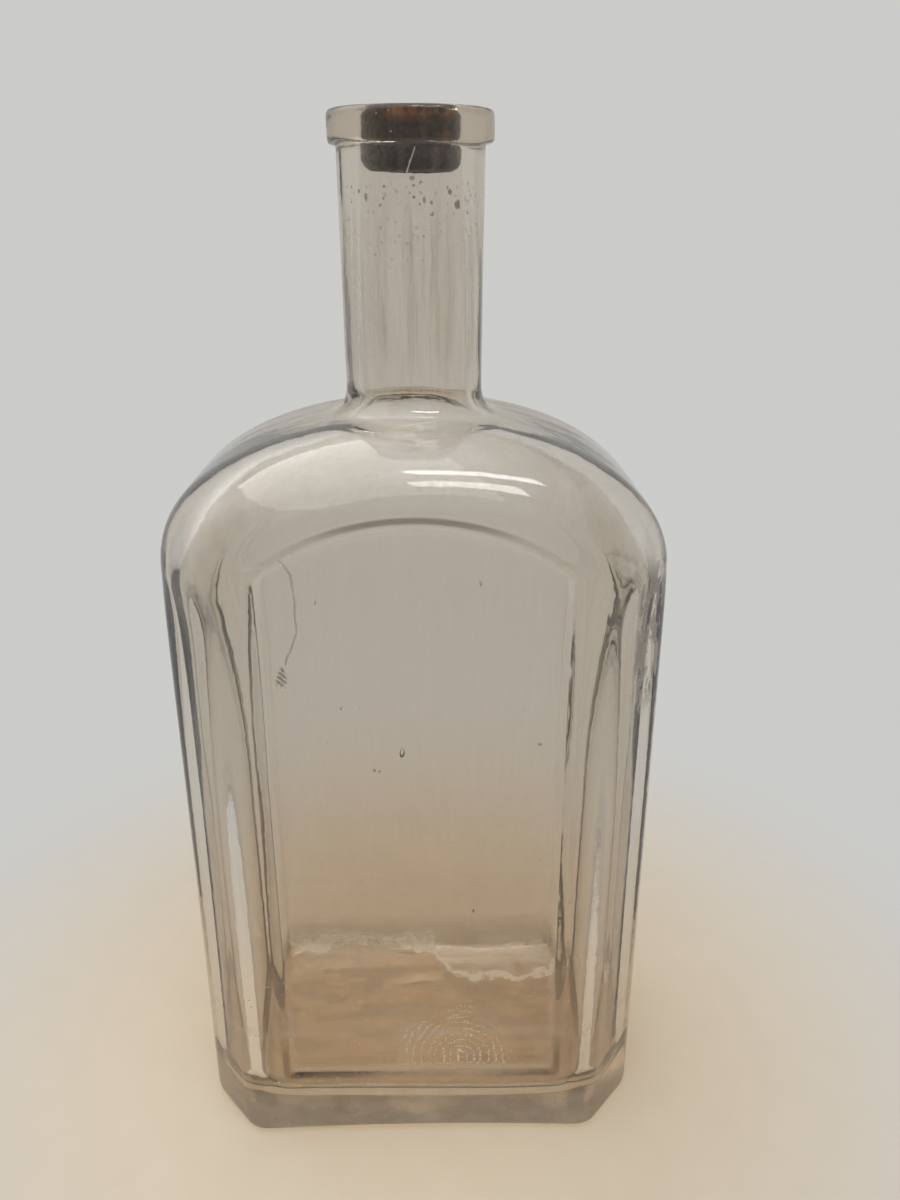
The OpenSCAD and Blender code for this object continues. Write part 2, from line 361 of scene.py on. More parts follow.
def build_glass():
    cell, thin = ((CELL, THIN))
    verts, quads = surface_net(glass, NET_LOW, NET_HIGH, cell)
    verts = settle(glass, verts, 1)
    draft = new_mesh("draft", verts * MM, quads)
    verts, tris = thin_out(draft, thin)
    verts = settle(glass, verts)
    normals = unit(slope_of(glass, verts)[1])
    out, inn, _ = shells(verts)
    inner = (-inn > out).astype(float)
    around = BEND_REACH * np.vstack([np.eye(3), -np.eye(3)])
    bend = sum(glass(verts + d) for d in around) / (6 * BEND_REACH * BEND_REACH)
    deep = np.clip(inside_panel(verts[:, 0], verts[:, 2]), -PANEL_FAR, PANEL_FAR)
    panel = np.where((verts[:, 1] < FRONT_SKIN_Y) & (inner < 0.5), deep, -PANEL_FAR)
    for at, size, turn in SEEDS:
        p, t, n = seed_bubble(np.array(at), size, turn)
        tris = np.vstack([tris, t + len(verts)])
        verts, normals = np.vstack([verts, p]), np.vstack([normals, n])
        inner, bend = np.append(inner, np.zeros(len(p))), np.append(bend, np.zeros(len(p)))
        panel = np.append(panel, np.full(len(p), -PANEL_FAR))
    obj = new_mesh("bottle_glass_and_lip", verts * MM, tris, normals)
    for name, values in (("inner", inner), ("bend", bend), ("panel", panel)):
        attribute = obj.data.attributes.new(name, "FLOAT", "POINT")
        attribute.data.foreach_set("value", values.astype(np.float32))
    return obj


bottle = build_glass()

# ---------------------------------------------------------------------------
# materials
# ---------------------------------------------------------------------------


def material(name):
    mat = bpy.data.materials.new(name)
    mat.use_nodes = True
    mat.node_tree.nodes.clear()
    return mat


class Tree:
    """Short ways to add nodes. Each gives a socket, apart from add, which gives the node."""

    def __init__(self, owner):
        self.t = owner.node_tree

    def add(self, kind, inputs=None, **props):
        n = self.t.nodes.new(kind)
        for k, v in props.items():
            setattr(n, k, v)
        for k, v in (inputs or {}).items():
            self.put(n.inputs[k], v)
        return n

    def put(self, socket, v):
        if isinstance(v, bpy.types.NodeSocket):
            self.t.links.new(v, socket)
        elif isinstance(v, bpy.types.Node):
            self.t.links.new(v.outputs[0], socket)
        else:
            socket.default_value = v

    def math(self, op, a, b=0.0, c=0.0):
        return self.add("ShaderNodeMath", {0: a, 1: b, 2: c}, operation=op).outputs[0]

    def affine(self, v, by, plus):
        """v * by + plus"""
        return self.math("MULTIPLY_ADD", v, by, plus)

    def minus(self, a, b):
        return self.math("SUBTRACT", a, b)

    def abs(self, v):
        return self.math("ABSOLUTE", v)

    def times(self, *v):
        out = v[0]
        for w in v[1:]:
            out = self.math("MULTIPLY", out, w)
        return out

    def plus(self, *v):
        out = v[0]
        for w in v[1:]:
            out = self.math("ADD", out, w)
        return out

    def rise(self, value, lo, hi):
        """0 at lo, 1 at hi, eased between. lo may be the larger one."""
        return self.add("ShaderNodeMapRange", {"Value": value, "From Min": lo, "From Max": hi},
                        interpolation_type="SMOOTHSTEP").outputs[0]

    def vec(self, x, y, z):
        return self.add("ShaderNodeCombineXYZ", {0: x, 1: y, 2: z}).outputs[0]

    def vmath(self, op, a, b=(0.0, 0.0, 0.0)):
        n = self.add("ShaderNodeVectorMath", {0: a, 1: b}, operation=op)
        return n.outputs["Value" if op in ("LENGTH", "DISTANCE", "DOT_PRODUCT") else "Vector"]

    def scaled(self, v, by):
        return self.add("ShaderNodeVectorMath", {0: v, "Scale": by}, operation="SCALE").outputs[0]

    def stretch(self, pos, by):
        return self.vmath("MULTIPLY", pos, by)

    def noise(self, pos, scale, detail=3.0, rough=0.55):
        return self.add("ShaderNodeTexNoise", {"Vector": pos, "Scale": scale, "Detail": detail,
                                               "Roughness": rough}).outputs[0]

    def cells(self, pos, scale):
        """Distance to the nearest of scattered points, in cells."""
        return self.add("ShaderNodeTexVoronoi", {"Vector": pos, "Scale": scale}).outputs["Distance"]

    def blob(self, pos, at, size, warp, amount):
        """1 inside an ellipsoid, with a broken edge."""
        rel = self.stretch(self.vmath("SUBTRACT", pos, at), tuple(1.0 / v for v in size))
        far = self.plus(self.vmath("LENGTH", rel), self.affine(warp, amount, -0.5 * amount))
        return self.rise(far, 1.15, 0.75)

    def line(self, pos, a, b):
        """Distance to the straight line from a to b."""
        a, b = Vector(a), Vector(b)
        ab = b - a
        rel = self.vmath("SUBTRACT", pos, tuple(a))
        dot = self.vmath("DOT_PRODUCT", rel, tuple(ab / ab.length_squared))
        part = self.math("MINIMUM", self.math("MAXIMUM", dot, 0.0), 1.0)
        return self.vmath("DISTANCE", rel, self.scaled(tuple(ab), part))

    def ramp(self, fac, stops):
        """Stops are (position, colour), the colour being one value or three."""
        n = self.add("ShaderNodeValToRGB", {0: fac})
        while len(n.color_ramp.elements) < len(stops):
            n.color_ramp.elements.new(0.5)
        for e, (pos, col) in zip(n.color_ramp.elements, stops):
            e.position = pos
            e.color = (*col, 1.0) if isinstance(col, tuple) else (col, col, col, 1.0)
        return n.outputs[0]

    def mix(self, fac, a, b, mode="MIX"):
        n = self.add("ShaderNodeMix", data_type="RGBA", blend_type=mode)
        for s, v in ((n.inputs[0], fac), (n.inputs[6], a), (n.inputs[7], b)):
            if isinstance(v, tuple) and len(v) == 3:
                v = v + (1.0,)
            self.put(s, v)
        return n.outputs[2]

    def bumped(self, height, strength, distance):
        return self.add("ShaderNodeBump", {"Strength": strength, "Distance": distance,
                                           "Height": height}).outputs[0]


# colours of the dirt
HAZE, SCUFF_AND_SHADE, DUST = (0.54, 0.51, 0.455), (0.50, 0.42, 0.32), (0.56, 0.54, 0.49)
DEPOSIT, RUN, SMUDGE = (0.088, 0.070, 0.054), (0.10, 0.075, 0.075), (0.065, 0.065, 0.095)
SPOT, GRIT, HAIR = (0.065, 0.038, 0.024), (0.10, 0.08, 0.06), (0.50, 0.46, 0.40)
OLD_OIL, RIDGE, BARE_FLOOR = (0.42, 0.265, 0.11), (0.70, 0.67, 0.60), (0.40, 0.34, 0.30)
FROST_AND_GLINT, DROP, SCUM = (0.84, 0.81, 0.75), (0.78, 0.76, 0.70), (0.60, 0.55, 0.46)
# no more of the glass than this is hidden anywhere
MOST_HIDDEN = 0.92

# specks on the outside: middle, half sizes, strength, colour
SPECKS = [((23.8, -34.0, 226.7), (0.95, 4.0, 1.5), 0.85, (0.30, 0.035, 0.03)),
          ((25.4, -34.5, 224.9), (0.4, 3.0, 0.5), 0.8, (0.30, 0.05, 0.04)),
          ((-0.9, -30.0, 231.3), (0.5, 5.0, 0.7), 0.7, (0.20, 0.07, 0.06)),
          ((3.1, -32.0, 228.2), (0.4, 5.0, 0.4), 0.7, (0.20, 0.07, 0.06)),
          ((14.0, -30.0, 229.8), (0.6, 5.0, 0.4), 0.6, (0.22, 0.08, 0.07)),
          ((-40.4, -32.0, 224.8), (0.6, 5.0, 0.7), 0.7, (0.16, 0.06, 0.06)),
          ((10.1, -18.0, 299.6), (0.6, 5.0, 0.8), 0.85, (0.070, 0.036, 0.022)),
          ((12.1, -17.0, 296.6), (0.9, 5.0, 1.3), 0.85, (0.070, 0.036, 0.022)),
          ((3.5, -20.0, 297.7), (0.5, 4.0, 0.9), 0.8, (0.080, 0.042, 0.026)),
          ((5.5, -20.0, 294.2), (0.6, 4.0, 0.4), 0.8, (0.080, 0.042, 0.026)),
          ((0.5, -20.0, 302.9), (0.8, 4.0, 0.6), 0.8, (0.085, 0.042, 0.026)),
          ((-11.5, -17.0, 298.4), (0.5, 5.0, 1.2), 0.8, (0.085, 0.045, 0.030))]
# the dried run on the panel, from its start down to the smudge
TRAIL = [(-36.5, 0, 208.2), (-33.6, 0, 204.0), (-32.9, 0, 196.0), (-32.8, 0, 187.2),
         (-35.3, 0, 180.3), (-36.8, 0, 176.5)]


def places(t):
    """Object position in millimetres, and its three parts."""
    at = t.add("ShaderNodeTexCoord").outputs["Object"]
    pos = t.scaled(at, 1000.0)
    return pos, t.add("ShaderNodeSeparateXYZ", {0: pos}).outputs


def outer_dirt(t, pos, xyz, outer, noises):
    """Dirt on the outside, as a list of (share hidden, colour)."""
    x, y, z = xyz[0], xyz[1], xyz[2]
    warp, fine, patch = noises
    streak = t.noise(t.stretch(pos, (1.0, 1.0, 0.05)), 0.55, 3.0, 0.55)
    up_neck = t.rise(z, 236.0, 262.0)

    # dust and old wiping streaks all over, most on the neck, and the bevels' worn faces
    low_neck = t.times(up_neck, t.rise(z, 301.0, 284.0), 0.14)
    haze = t.times(t.rise(streak, 0.42, 0.75), t.plus(low_neck, 0.03))
    wide = t.noise(t.stretch(pos, (1.0, 1.0, 0.07)), 0.30, 2.0, 0.5)
    haze = t.plus(haze, t.times(up_neck, outer, t.rise(z, 303.0, 288.0),
                                t.rise(wide, 0.42, 0.62), 0.27))
    haze = t.plus(haze, t.times(t.rise(fine, 0.58, 0.80), outer, 0.06))
    side = t.abs(x)
    worn = t.times(t.rise(side, 55.0, 59.0), t.rise(side, 71.5, 69.0),
                   t.rise(z, 232.0, 205.0), outer)
    blotch = t.rise(t.plus(t.times(wide, 0.6), t.times(fine, 0.4)), 0.40, 0.62)
    haze = t.plus(haze, t.times(worn, blotch, 0.15))

    # the foot is scuffed and gets a warm painted shade, and dust has settled on the shoulder
    grain = t.plus(t.times(patch, 0.5), t.times(fine, 0.5))
    foot = t.times(outer, t.rise(z, 25.0, 12.0), t.affine(grain, 0.9, -0.25))
    shoulder = t.times(t.rise(z, 204.0, 226.0), t.rise(z, 246.0, 238.0), outer)
    dust = t.times(shoulder, t.rise(grain, 0.42, 0.62), 0.09)

    # grey mottled deposit on the front right bevel
    bevel = t.line(t.vec(x, y, 0.0), (65.2, -35.0, 0.0), (67.2, -32.6, 0.0))
    where = t.times(t.rise(bevel, 8.0, 3.2), t.rise(z, 150.0, 166.0), t.rise(z, 214.0, 198.0))
    tall = t.noise(t.stretch(pos, (1.0, 1.0, 0.28)), 0.33, 5.0, 0.72)
    deposit = t.times(where, t.rise(tall, 0.455, 0.555), outer, 0.80)
    return [(haze, HAZE), (foot, SCUFF_AND_SHADE), (dust, DUST), (deposit, DEPOSIT)]


def run_and_smudge(t, xyz, inner, noises):
    """A dried run inside the panel, with a combed smudge at its end."""
    x, y, z = xyz[0], xyz[1], xyz[2]
    warp, fine, _ = noises
    flat = t.vmath("ADD", t.vec(x, 0.0, z), t.vec(t.affine(warp, 1.8, -0.9), 0.0, 0.0))
    near = None
    for a, b in zip(TRAIL, TRAIL[1:]):
        d = t.line(flat, a, b)
        near = d if near is None else t.math("MINIMUM", near, d)
    front_in = t.times(t.rise(y, -36.0, -37.0), inner)
    run = t.times(t.rise(near, t.affine(fine, 1.15, 0.05), 0.12), front_in, 0.62)
    across = t.plus(x, 37.4, t.times(t.minus(z, 177.0), -0.10))
    spread = t.affine(t.rise(z, 177.5, 169.0), 2.0, 0.55)
    fan = t.vec(t.math("DIVIDE", across, spread), 0.0, t.affine(z, 0.24, -41.5))
    smudge = t.rise(t.plus(t.vmath("LENGTH", fan), t.times(fine, 0.9)), 1.55, 1.05)
    comb = t.math("SINE", t.plus(t.times(z, 3.9), t.times(x, 3.3), t.times(warp, 5.0)))
    smudge = t.times(smudge, front_in, t.affine(t.rise(comb, -0.7, 0.4), 0.40, 0.42))
    return [(run, RUN), (smudge, SMUDGE)]


def specks(t, pos, z, outer, noises):
    """Brown on the neck below the cork, red-brown on the shoulder, and fine grit."""
    warp, fine, patch = noises
    layers = [(t.times(t.blob(pos, at, size, fine, 0.9), outer, strength), colour)
              for at, size, strength, colour in SPECKS]
    spots = t.cells(pos, 0.42)
    under = t.times(t.rise(z, 262.0, 298.0), t.rise(z, 303.5, 301.5), t.rise(warp, 0.42, 0.66))
    layers.append((t.times(t.rise(spots, 0.27, 0.14), under, 0.85), SPOT))
    grit = t.times(t.rise(t.cells(pos, 0.30), 0.075, 0.03), t.rise(patch, 0.5, 0.6))
    layers.append((t.times(grit, outer, 0.8), GRIT))
    return layers


def floor_remains(t, pos, xyz, inner, noises):
    """Old oil on the floor inside, its pale rear edge, frosted rings in front with painted glints;
    and its stain.
    """
    x, y, z = xyz[0], xyz[1], xyz[2]
    warp, fine, patch = noises
    low = t.times(inner, t.rise(z, 21.0, 14.0))
    slow = t.noise(pos, 0.075, 2.0, 0.5)
    edge_y = t.plus(23.0, t.times(t.rise(x, 13.0, 3.0), 13.0))
    edge_y = t.plus(edge_y, t.affine(slow, 14.0, -7.0))
    past = t.minus(y, edge_y)
    film = t.times(low, t.rise(past, 2.0, -3.0), t.rise(y, -36.0, -20.0))
    flow = t.noise(t.stretch(pos, (0.45, 1.0, 1.0)), 0.13, 4.0, 0.6)
    stain = t.times(film, t.affine(t.rise(flow, 0.36, 0.60), 0.75, 0.25))
    oil = t.times(film, t.rise(flow, 0.42, 0.62), 0.36)
    ridge = t.times(low, t.rise(t.abs(past), 3.6, 0.4), t.rise(patch, 0.26, 0.46))
    ridge = t.times(ridge, t.affine(fine, 0.7, 0.25))
    behind = t.times(t.times(low, t.rise(past, 0.0, 6.0), t.rise(patch, 0.40, 0.62)), 0.22)
    from_mid = t.vmath("DISTANCE", t.vec(x, y, 0.0), (14.5, -17.0, 0.0))
    rings = t.math("SINE", t.affine(warp, 9.0, t.times(from_mid, 2.3)))
    frost = t.rise(t.plus(t.times(from_mid, 0.024), slow), 1.26, 0.70)
    # frosted rings with painted glints: pale marks in rings in front
    frost_and_glints = t.times(t.rise(rings, -0.3, 0.9), t.rise(fine, 0.44, 0.60), frost,
                      t.rise(y, -28.0, -22.0))
    frost_and_glints = t.times(low, frost_and_glints, 0.85)
    return [(oil, OLD_OIL), (ridge, RIDGE), (behind, BARE_FLOOR), (frost_and_glints, FROST_AND_GLINT)], stain


def wall_remains(t, pos, z, inner, noises):
    """Small dried drops and scum on the walls near the tide line inside."""
    warp, _, patch = noises
    drops = t.times(t.rise(t.cells(pos, 0.55), 0.14, 0.05), t.rise(z, 88.0, 62.0),
                    t.rise(z, 12.0, 24.0), t.rise(patch, 0.44, 0.58))
    tide = t.plus(t.minus(z, 42.0), t.affine(warp, 8.0, -4.0))
    scum = t.times(inner, t.rise(t.abs(tide), 2.6, 0.2), t.rise(patch, 0.36, 0.60))
    return [(t.times(drops, inner, 0.8), DROP), (t.times(scum, 0.20), SCUM)]


def glass_dirt(t, pos, xyz, inner):
    """How much of the glass dirt hides, the dirt's colour, and where old oil stains the floor."""
    z = xyz[2]
    outer = t.minus(1.0, inner)
    noises = (t.noise(pos, 0.22, 3.0), t.noise(pos, 1.6, 3.0, 0.6), t.noise(pos, 0.11, 4.0, 0.62))
    layers = outer_dirt(t, pos, xyz, outer, noises)
    layers += run_and_smudge(t, xyz, inner, noises)
    layers += specks(t, pos, z, outer, noises)
    remains, stain = floor_remains(t, pos, xyz, inner, noises)
    layers += remains + wall_remains(t, pos, z, inner, noises)
    # a hair in front of the cork
    hair = t.line(pos, (1.3, -19.9, 310.0), (-0.8, -19.9, 304.3))
    layers.append((t.times(t.rise(hair, 0.32, 0.10), outer, 0.42), HAIR))

    cover, colour = layers[0]
    for m, c in layers[1:]:
        colour = t.mix(m, colour, c)
        cover = t.math("MAXIMUM", cover, m)
    return t.math("MINIMUM", cover, MOST_HIDDEN), colour, stain


# the glass's own tint face on (0), turning into painted shade edge on (1)
TINT_AND_EDGE_SHADE = [(0.0, (0.98, 0.97, 0.95)), (0.46, (0.965, 0.95, 0.93)), (0.64, (0.86, 0.84, 0.79)),
        (0.80, (0.60, 0.55, 0.46)), (1.0, (0.27, 0.22, 0.16))]
# tint of the inner surfaces, painted shade where the glass bends sharply, tint of the neck
TINT_INSIDE, PAINTED_BEND_SHADE, TINT_NECK = (0.965, 0.95, 0.925), (0.40, 0.35, 0.27), (0.95, 0.935, 0.905)
# painted shade on the panel's sloped edge, and a painted highlight along its flat part
PANEL_EDGE_SHADE, PANEL_RIM_HIGHLIGHT = (0.11, 0.075, 0.05), (0.70, 0.68, 0.64)
OIL_FILM_AND_SHADE, OIL_STAIN = (0.75, 0.69, 0.625), (0.72, 0.50, 0.27)
SHADOW_TINT, IN_THE_GLASS = (0.90, 0.89, 0.86, 1.0), (0.765, 0.695, 0.575, 1.0)
GLASS_IOR, GLASS_DENSITY = 1.5, 36.0


def glass_tint_and_shade(t, xyz, inner, panel):
    """The clear glass's own colour, with painted shade where it is seen edge on or bends sharply,
    and a painted dark line at the panel's edge.
    """
    z = xyz[2]
    bend = t.add("ShaderNodeAttribute", attribute_name="bend").outputs["Fac"]
    # painted shade: the glass is darkened where it is seen edge on
    facing = t.add("ShaderNodeLayerWeight", {"Blend": 0.5}).outputs["Facing"]
    tint_and_shade = t.mix(t.times(inner, 0.5), t.ramp(facing, TINT_AND_EDGE_SHADE), TINT_INSIDE)
    # painted shade: darker where the surface bends sharply, much less on the panel's face
    bend_shade_mask = t.rise(t.abs(bend), 0.03, 0.16)
    bend_shade_mask = t.times(bend_shade_mask, t.affine(t.rise(panel, -8.0, -5.0), -0.85, 1.0))
    tint_and_shade = t.mix(t.times(bend_shade_mask, t.affine(inner, -0.22, 0.32)), tint_and_shade, PAINTED_BEND_SHADE)
    neck = t.times(t.rise(z, 244.0, 256.0), t.rise(z, 310.0, 306.0))
    tint_and_shade = t.mix(t.times(neck, 0.72), tint_and_shade, TINT_NECK)
    # painted shade: the panel's sloped edge gets a dark line at the top of its arch and at its
    # lower corners
    ends = t.times(t.rise(z, 44.0, 33.0), t.rise(t.abs(xyz[0]), 12.0, 44.0))
    apex = t.plus(t.times(t.rise(z, 203.0, 219.0), 0.35), t.times(t.rise(z, 213.0, 219.0), 0.45),
                  t.times(ends, 0.62), 0.07)
    slope = t.times(t.rise(panel, -4.2, -3.2), t.rise(panel, -1.0, -2.2))
    return t.mix(t.times(slope, apex), tint_and_shade, PANEL_EDGE_SHADE)


def oil_film_and_foot_shade(t, z, inner):
    """How thick the thin brown film is: inside thicker low down, outside at the mouth, and at the
    foot, where it is also painted shade.
    """
    within = t.plus(t.times(t.rise(z, 245.0, 195.0), 0.72),
                    t.times(t.rise(z, 130.0, 20.0), 0.22), 0.16)
    outside = t.plus(t.times(t.rise(z, 238.0, 250.0), 0.34),
                     t.times(t.rise(z, 309.0, 312.0), 0.42), 0.02)
    # painted shade: the film at the foot also darkens and warms the base
    outside = t.plus(outside, t.times(t.rise(z, 24.0, 12.0), 0.80))
    return t.mix(inner, outside, within)


def glass_material():
    mat = material("old_clear_glass")
    t = Tree(mat)
    pos, xyz = places(t)
    z = xyz[2]
    inner = t.rise(t.add("ShaderNodeAttribute", attribute_name="inner").outputs["Fac"], 0.4, 0.6)
    panel = t.add("ShaderNodeAttribute", attribute_name="panel").outputs["Fac"]
    tint_and_shade = glass_tint_and_shade(t, xyz, inner, panel)
    tint_and_shade = t.mix(oil_film_and_foot_shade(t, z, inner), tint_and_shade, t.mix(1.0, tint_and_shade, OIL_FILM_AND_SHADE, "MULTIPLY"))
    cover, colour, stain = glass_dirt(t, pos, xyz, inner)
    tint_and_shade = t.mix(stain, tint_and_shade, t.mix(1.0, tint_and_shade, OIL_STAIN, "MULTIPLY"))
    # painted highlight: a pale line along the panel's flat part, strongest on its arch
    rim = t.times(t.rise(panel, -1.7, -0.9), t.rise(panel, 0.7, -0.1))
    colour = t.mix(rim, colour, PANEL_RIM_HIGHLIGHT)
    pale_highlight = t.times(rim, t.affine(t.rise(z, 188.0, 206.0), 0.22, 0.07))
    cover = t.math("MAXIMUM", cover, pale_highlight)
    skin = t.noise(t.stretch(pos, (0.8, 0.8, 1.0)), 0.16, 2.0, 0.5)
    shader = t.add("ShaderNodeBsdfPrincipled", {
        "Base Color": t.mix(cover, tint_and_shade, colour), "Roughness": t.affine(cover, 0.55, 0.02),
        "Transmission Weight": t.minus(1.0, cover), "Normal": t.bumped(skin, 0.30, 0.0002),
        "IOR": GLASS_IOR})
    # shadow rays go straight through
    clear = t.add("ShaderNodeBsdfTransparent", {"Color": SHADOW_TINT})
    is_shadow = t.add("ShaderNodeLightPath").outputs["Is Shadow Ray"]
    out = t.add("ShaderNodeMixShader", {0: is_shadow, 1: shader, 2: clear})
    vol = t.add("ShaderNodeVolumeAbsorption", {"Color": IN_THE_GLASS, "Density": GLASS_DENSITY})
    t.add("ShaderNodeOutputMaterial", {"Surface": out, "Volume": vol})
    return mat


bottle.data.materials.append(glass_material())
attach(bottle, "bottle")
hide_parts("bottle_glass", "lip_ring")

# ---------------------------------------------------------------------------
# the cork, in millimetres
# ---------------------------------------------------------------------------

CORK_R, CORK_TOP, CORK_SIDES = 13.5, 318.9, 128
# radii of its rounded lower and upper edge
CORK_FOOT_R, CORK_RIM_R = 3.4, 0.8


def cork_profile():
    """(radius, height) from the middle of the underside round to the middle of the top."""
    pts = [(r, 304.55 + 0.25 * (r / 10.0) ** 2) for r in np.linspace(0.0, 9.6, 9)]
    for a in np.radians(np.linspace(0, 90, 8)):
        pts.append((10.1 + CORK_FOOT_R * math.sin(a), 308.2 - CORK_FOOT_R * math.cos(a)))
    pts += [(CORK_R, z) for z in np.linspace(309.0, 317.8, 12)]
    for a in np.radians(np.linspace(15, 90, 5)):
        pts.append((12.7 + CORK_RIM_R * math.cos(a), 318.1 + CORK_RIM_R * math.sin(a)))
    pts += [(r, CORK_TOP) for r in np.linspace(12.0, 0.0, 14)]
    return pts


def cork_mesh():
    prof = cork_profile()
    n = CORK_SIDES
    a = np.arange(n) * 2 * math.pi / n
    rings = []
    for r, z in prof[1:-1]:
        x, y = r * np.cos(a), r * np.sin(a)
        if z > 318.5:
            # the top has grooves and pits
            groove = np.abs(np.sin(0.55 * x + 1.1) * np.sin(0.7 * y - 0.4))
            pit = np.sin(0.9 * x + 0.6 * y) * np.sin(0.8 * y - 0.7 * x + 1.0) - 0.55
            dz = -0.5 * groove - 1.2 * np.maximum(pit, 0)
            rings.append(np.stack([x, y, z + dz], 1))
        else:
            rough = np.sin(9 * a + z) * np.sin(5 * a - 0.7 * z + 1.0) * np.sin(23 * a + 2.1 * z)
            pit = np.maximum(np.sin(13 * a + 1.9 * z) * np.sin(4 * a - 1.1 * z + 2.0) - 0.62, 0.0)
            rr = r - (0.12 + 0.12 * rough + 1.6 * pit) * (r > 8)
            rings.append(np.stack([rr * np.cos(a), rr * np.sin(a),
                                   np.full(n, z) + 0.15 * rough], 1))
    ends = [np.array([[0, 0, prof[0][1]]]), np.array([[0, 0, prof[-1][1] - 0.3]])]
    verts = np.concatenate([ends[0]] + rings + [ends[1]])
    faces = []
    last = len(verts) - 1
    for j in range(n):
        k = (j + 1) % n
        faces.append((0, 1 + k, 1 + j))
        for i in range(len(rings) - 1):
            low, high = 1 + i * n, 1 + (i + 1) * n
            faces.append((low + j, low + k, high + k, high + j))
        high = 1 + (len(rings) - 1) * n
        faces.append((high + j, high + k, last))
    mesh = bpy.data.meshes.new("cork_stub")
    mesh.from_pydata((verts * MM).tolist(), [], faces)
    mesh.polygons.foreach_set("use_smooth", np.ones(len(mesh.polygons), bool))
    mesh.update()
    return add_object("cork_stub", mesh)


# from the deepest pores to the driest grain
CORK_BROWNS = [(0.30, (0.006, 0.004, 0.004)), (0.5, (0.018, 0.011, 0.010)),
               (0.68, (0.046, 0.027, 0.020)), (0.85, (0.105, 0.064, 0.042))]
CORK_WET, CORK_RIM = (0.018, 0.013, 0.018), (0.19, 0.080, 0.028)
CORK_AMBER, CORK_IOR = (0.13, 0.066, 0.020), 1.46


def cork_material():
    mat = material("oil_soaked_cork")
    t = Tree(mat)
    at = t.add("ShaderNodeTexCoord").outputs["Object"]
    grain = t.noise(at, 420.0, 6.0, 0.65)
    blot = t.noise(at, 130.0, 3.0, 0.5)
    pores = t.cells(at, 900.0)
    z = t.add("ShaderNodeSeparateXYZ", {0: at}).outputs[2]
    r = t.vmath("LENGTH", t.vmath("MULTIPLY", at, (1, 1, 0)))
    base = t.ramp(grain, CORK_BROWNS)
    base = t.mix(t.ramp(blot, [(0.42, 0.0), (0.62, 0.75)]), base, CORK_WET)
    # an amber rim round the top, from 80 to 95 percent of 13.7 mm out
    rim = t.times(t.ramp(t.times(r, 1 / 0.0137), [(0.80, 0.0), (0.95, 1.0)]),
                  t.ramp(t.affine(z, 400.0, -126.3), [(0.0, 0.0), (1.0, 1.0)]))
    rim = t.times(rim, t.ramp(blot, [(0.35, 0.2), (0.6, 1.0)]))
    base = t.mix(rim, base, CORK_RIM)
    # amber patches, most on the right
    patches = t.noise(at, 210.0, 2.0, 0.5)
    side = t.add("ShaderNodeSeparateXYZ", {0: at}).outputs[0]
    amber = t.times(t.ramp(patches, [(0.52, 0.0), (0.66, 0.6)]),
                    t.ramp(t.affine(side, 60.0, 0.2), [(0.2, 0.1), (0.7, 1.0)]))
    base = t.mix(amber, base, CORK_AMBER)
    height = t.plus(t.times(grain, 0.7), t.times(pores, 0.5))
    shader = t.add("ShaderNodeBsdfPrincipled", {
        "Base Color": base, "Roughness": t.ramp(blot, [(0.3, 0.42), (0.7, 0.78)]),
        "Normal": t.bumped(height, 0.8, 0.0006), "Coat Weight": 0.15, "Coat Roughness": 0.3,
        "IOR": CORK_IOR})
    t.add("ShaderNodeOutputMaterial", {"Surface": shader})
    return mat


cork = cork_mesh()
cork.data.materials.append(cork_material())
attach(cork, "cork")
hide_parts("cork")

# ---------------------------------------------------------------------------
# floor, light and camera, in metres
# ---------------------------------------------------------------------------

# the backdrop, the light that the world gives, and the two shades of the floor
BACK, WORLD_LIGHT = (0.60, 0.60, 0.585, 1.0), (0.34, 0.34, 0.34, 1.0)
FLOOR_DARK, FLOOR_PALE = (0.62, 0.53, 0.41), (0.66, 0.57, 0.45)
FLOOR_SIDES, FLOOR_RINGS, FIRST_RING, RING_GROWTH = 96, 28, 0.02, 1.22
# the camera that was solved from the photo: place, degrees down and to the right, lens
CAMERA_AT, CAMERA_DOWN, CAMERA_RIGHT = (0.0053, -0.2942, 0.2990), 22.07, 1.0
SENSOR_HEIGHT, LENS, CLIP_START = 36.0, 30.0, 0.01


def see_ray(t):
    """1 for rays that show the backdrop: from the camera, in reflections and through glass."""
    lp = t.add("ShaderNodeLightPath")
    a = t.math("MAXIMUM", lp.outputs["Is Camera Ray"], lp.outputs["Is Glossy Ray"])
    return t.math("MAXIMUM", a, lp.outputs["Is Transmission Ray"])


def room(t, y, near, far):
    """Strength of the backdrop. In glass and in reflections the room to the front is darker."""
    lp = t.add("ShaderNodeLightPath")
    away = t.times(t.rise(y, near, far), t.minus(1.0, lp.outputs["Is Camera Ray"]))
    depth = t.affine(lp.outputs["Is Transmission Ray"], -0.50, 0.72)
    return t.minus(1.0, t.times(away, depth))


def floor_mesh():
    """A disc of rings that get wider outwards."""
    n = FLOOR_SIDES
    verts = [(0, 0, 0)]
    for i in range(FLOOR_RINGS):
        r = FIRST_RING * RING_GROWTH ** i
        for j in range(n):
            a = 2 * math.pi * j / n
            verts.append((r * math.cos(a), r * math.sin(a), 0.0))
    faces = [(0, 1 + j, 1 + (j + 1) % n) for j in range(n)]
    for i in range(FLOOR_RINGS - 1):
        low, high = 1 + i * n, 1 + (i + 1) * n
        for j in range(n):
            k = (j + 1) % n
            faces.append((low + j, high + j, high + k, low + k))
    mesh = bpy.data.meshes.new("floor")
    mesh.from_pydata(verts, [], faces)
    return mesh


